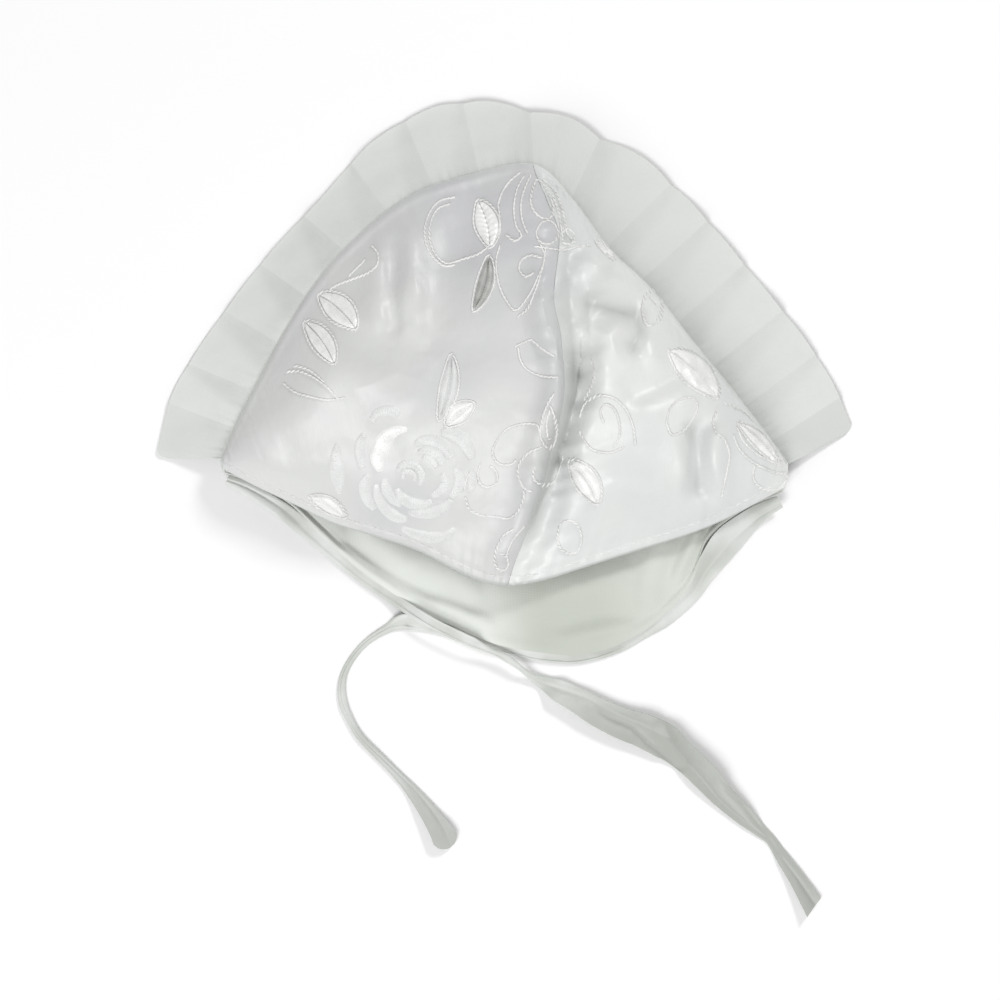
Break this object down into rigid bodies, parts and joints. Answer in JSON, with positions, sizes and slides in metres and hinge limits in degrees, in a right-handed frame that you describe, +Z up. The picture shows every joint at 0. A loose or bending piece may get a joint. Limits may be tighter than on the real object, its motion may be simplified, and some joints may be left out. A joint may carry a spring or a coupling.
{
  "type": "baby bonnet",
  "caption": "Soft satin baby bonnet laid flat, with a domed two-panel crown, a pleated brim, a lined hollow and two ribbon ties.",
  "frame": {"origin": "on the surface, under the middle of the bonnet's box without its ties", "axes": "+X from the left corner of the mouth to the right one, +Y from the mouth to the top of the arc, +Z up"},
  "size_m": [0.2432, 0.285, 0.0464],
  "materials": {
    "satin": "satin",
    "lining_cloth": "matte",
    "brim_cloth": "matte",
    "ribbon": "satin"
  },
  "bodies": {
    "root": {"crown_left": "satin", "crown_right": "satin", "crown_under": "satin", "lining": "lining_cloth", "brim": "brim_cloth", "tie_left": "ribbon", "tie_right": "ribbon"}
  },
  "joints": []
}
